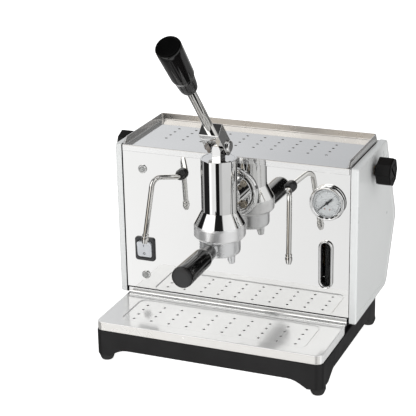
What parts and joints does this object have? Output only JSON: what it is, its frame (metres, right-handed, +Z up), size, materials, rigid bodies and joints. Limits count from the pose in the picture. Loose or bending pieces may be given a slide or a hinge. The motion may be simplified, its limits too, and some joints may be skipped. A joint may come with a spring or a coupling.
{
  "type": "espresso machine",
  "caption": "Boxy spring-lever espresso machine with a front group, locking portafilter, two swivelling wands, side valve knobs, a gauge and lift-off trays.",
  "frame": {"origin": "on the table under the middle of the machine's bounding box, lever and knobs included", "axes": "+Z up, +X to the right of someone facing the front panel, +Y towards the back; the lever and portafilter point to -Y"},
  "size_m": [0.4028, 0.4112, 0.4892],
  "materials": {
    "satin_black_base": "satin",
    "foot_rubber": "matte",
    "white_enamel": "gloss",
    "mirror_steel": "polished",
    "bright_steel": "polished",
    "case_steel": "brushed",
    "chrome": "polished",
    "boiler_brass": "satin",
    "pipe_copper": "satin",
    "zinc_bolts": "satin",
    "spring_steel": "satin",
    "gasket_rubber": "matte",
    "dial_face": "satin",
    "needle_black": "satin",
    "clear_glass": "clear",
    "moulded_black": "satin",
    "switch_grey": "satin",
    "lamp_lens": "gloss",
    "handle_black": "gloss",
    "knob_black": "satin",
    "gland_black": "satin"
  },
  "bodies": {
    "machine": {"base_frame": "satin_black_base", "rubber_feet": "foot_rubber", "chassis_pan": "satin_black_base", "left_side_panel": "white_enamel", "right_side_panel": "white_enamel", "front_panel": "mirror_steel", "rear_panel": "case_steel", "front_sill": "bright_steel", "boiler_shell": "boiler_brass", "boiler_end_plate": "boiler_brass", "heating_element": "pipe_copper", "boiler_stands": "satin_black_base", "safety_valve": "boiler_brass", "pressurestat": "moulded_black", "mains_gland": "moulded_black", "flange_bolts": "zinc_bolts", "pipework": "pipe_copper", "gauge_case": "chrome", "gauge_dial": "dial_face", "gauge_glass": "clear_glass", "sight_glass_bezel": "chrome", "sight_glass_tube": "clear_glass", "sight_glass_fittings": "boiler_brass", "power_switch_housing": "moulded_black", "pilot_lamps": "lamp_lens", "wand_glands": "gland_black", "valve_bodies": "boiler_brass", "group_flange_ring": "chrome", "group_body": "chrome", "group_gasket": "gasket_rubber", "shower_screen": "bright_steel", "group_cap": "chrome", "group_spring": "spring_steel"},
    "cup_tray": {"cup_tray": "bright_steel"},
    "drip_basin": {"drip_basin": "bright_steel"},
    "drip_cover": {"drip_cover": "bright_steel"},
    "filler_cap": {"filler_cap": "moulded_black"},
    "needle": {"gauge_needle": "needle_black"},
    "rocker": {"power_switch_rocker": "switch_grey"},
    "left_wand": {"left_wand": "chrome", "left_wand_nozzle": "chrome"},
    "right_wand": {"right_wand": "chrome", "right_wand_nozzle": "chrome"},
    "left_valve": {"left_valve_stem": "zinc_bolts", "left_valve_knob": "knob_black"},
    "right_valve": {"right_valve_stem": "zinc_bolts", "right_valve_knob": "knob_black"},
    "piston": {"piston": "boiler_brass", "piston_seals": "gasket_rubber", "piston_rod": "chrome", "lever_pin": "chrome"},
    "lever": {"lever_fork": "chrome", "lever_rod": "chrome", "lever_grip": "handle_black", "lever_grip_cap": "handle_black"},
    "portafilter": {"portafilter_body": "chrome", "filter_basket": "bright_steel", "twin_spout": "chrome", "portafilter_handle": "handle_black", "portafilter_handle_cap": "handle_black"}
  },
  "joints": [
    {"name": "cup_tray_lift", "type": "slide", "parent": "machine", "child": "cup_tray", "axis": [0, 0, 1], "range_m": [0, 0.06]},
    {"name": "drip_basin_lift", "type": "slide", "parent": "machine", "child": "drip_basin", "axis": [0, 0, 1], "range_m": [0, 0.03]},
    {"name": "drip_cover_lift", "type": "slide", "parent": "drip_basin", "child": "drip_cover", "axis": [0, 0, 1], "range_m": [0, 0.03]},
    {"name": "filler_cap_turn", "type": "hinge", "parent": "machine", "child": "filler_cap", "pos_m": [-0.045, 0.09204, 0.246], "axis": [0, 0, 1], "range_deg": [0, 720]},
    {"name": "gauge_needle_turn", "type": "hinge", "parent": "machine", "child": "needle", "pos_m": [0.134, 0.01204, 0.231], "axis": [0, 1, 0], "range_deg": [0, 270], "stiffness_Nm_per_rad": 0.0002},
    {"name": "rocker_tilt", "type": "hinge", "parent": "machine", "child": "rocker", "pos_m": [-0.134, 0.01404, 0.1295], "axis": [1, 0, 0], "range_deg": [-14, 0]},
    {"name": "left_wand_swing", "type": "hinge", "parent": "machine", "child": "left_wand", "pos_m": [-0.075, 0.01204, 0.247], "axis": [0, 1, 0], "range_deg": [-35, 55]},
    {"name": "right_wand_swing", "type": "hinge", "parent": "machine", "child": "right_wand", "pos_m": [0.082, 0.01204, 0.247], "axis": [0, 1, 0], "range_deg": [-55, 35]},
    {"name": "left_valve_turn", "type": "hinge", "parent": "machine", "child": "left_valve", "pos_m": [-0.19, 0.08804, 0.256], "axis": [-1, 0, 0], "range_deg": [0, 540]},
    {"name": "right_valve_turn", "type": "hinge", "parent": "machine", "child": "right_valve", "pos_m": [0.19, 0.08804, 0.256], "axis": [1, 0, 0], "range_deg": [0, 540]},
    {"name": "lever_pull", "type": "hinge", "parent": "piston", "child": "lever", "pos_m": [0.0025, -0.04396, 0.313], "axis": [1, 0, 0], "range_deg": [0, 85], "stiffness_Nm_per_rad": 20, "springref_deg": -17.19},
    {"name": "piston_lift", "type": "slide", "parent": "machine", "child": "piston", "axis": [0, 0, 1], "range_m": [0, 0.025], "deforming": ["group_spring"]},
    {"name": "portafilter_turn", "type": "hinge", "parent": "machine", "child": "portafilter", "pos_m": [0.0025, -0.04396, 0.192], "axis": [0, 0, 1], "range_deg": [-50, 0]}
  ],
  "couplings": [
    {"joint": "piston_lift", "follows": "lever_pull", "m_per_rad": 0.016784}
  ]
}
